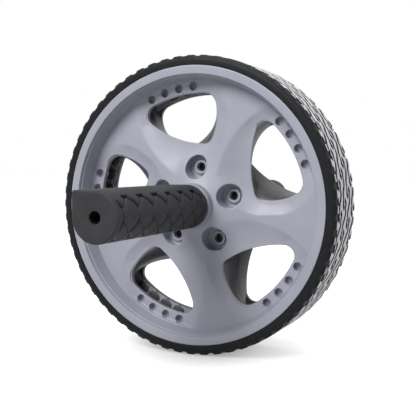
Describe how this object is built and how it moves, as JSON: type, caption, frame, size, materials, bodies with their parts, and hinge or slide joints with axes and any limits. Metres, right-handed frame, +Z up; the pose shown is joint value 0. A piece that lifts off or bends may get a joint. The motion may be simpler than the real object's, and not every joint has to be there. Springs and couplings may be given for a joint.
{
  "type": "ab wheel roller",
  "caption": "Exercise roller: a wide spoked wheel with a rubber tyre turns freely on a steel axle, with a rubber grip at each side.",
  "frame": {"origin": "middle of the wheel, on the axle line and in the plane where the wheel's halves meet", "axes": "+Z up, Y along the axle with the pictured grip towards -Y, X across the wheel"},
  "size_m": [0.2, 0.2782, 0.2],
  "materials": {
    "tyre_rubber": "satin moulded rubber",
    "wheel_plastic": "fine satin moulding",
    "screw_steel": "black",
    "axle_steel": "bright drawn",
    "bush_plastic": "natural",
    "core_plastic": "plain",
    "grip_rubber": "soft matt"
  },
  "bodies": {
    "wheel": {"tyre": "tyre_rubber", "front_wheel_half": "wheel_plastic", "rear_wheel_half": "wheel_plastic", "wheel_screws": "screw_steel", "front_bush": "bush_plastic", "rear_bush": "bush_plastic"},
    "handle_bar": {"axle": "axle_steel", "front_thrust_washer": "bush_plastic", "rear_thrust_washer": "bush_plastic", "front_grip_core": "core_plastic", "rear_grip_core": "core_plastic", "front_grip": "grip_rubber", "rear_grip": "grip_rubber"}
  },
  "joints": [
    {"name": "handle_spin", "type": "hinge", "parent": "wheel", "child": "handle_bar", "pos_m": [0, 0, 0], "axis": [0, 1, 0], "continuous": true}
  ]
}
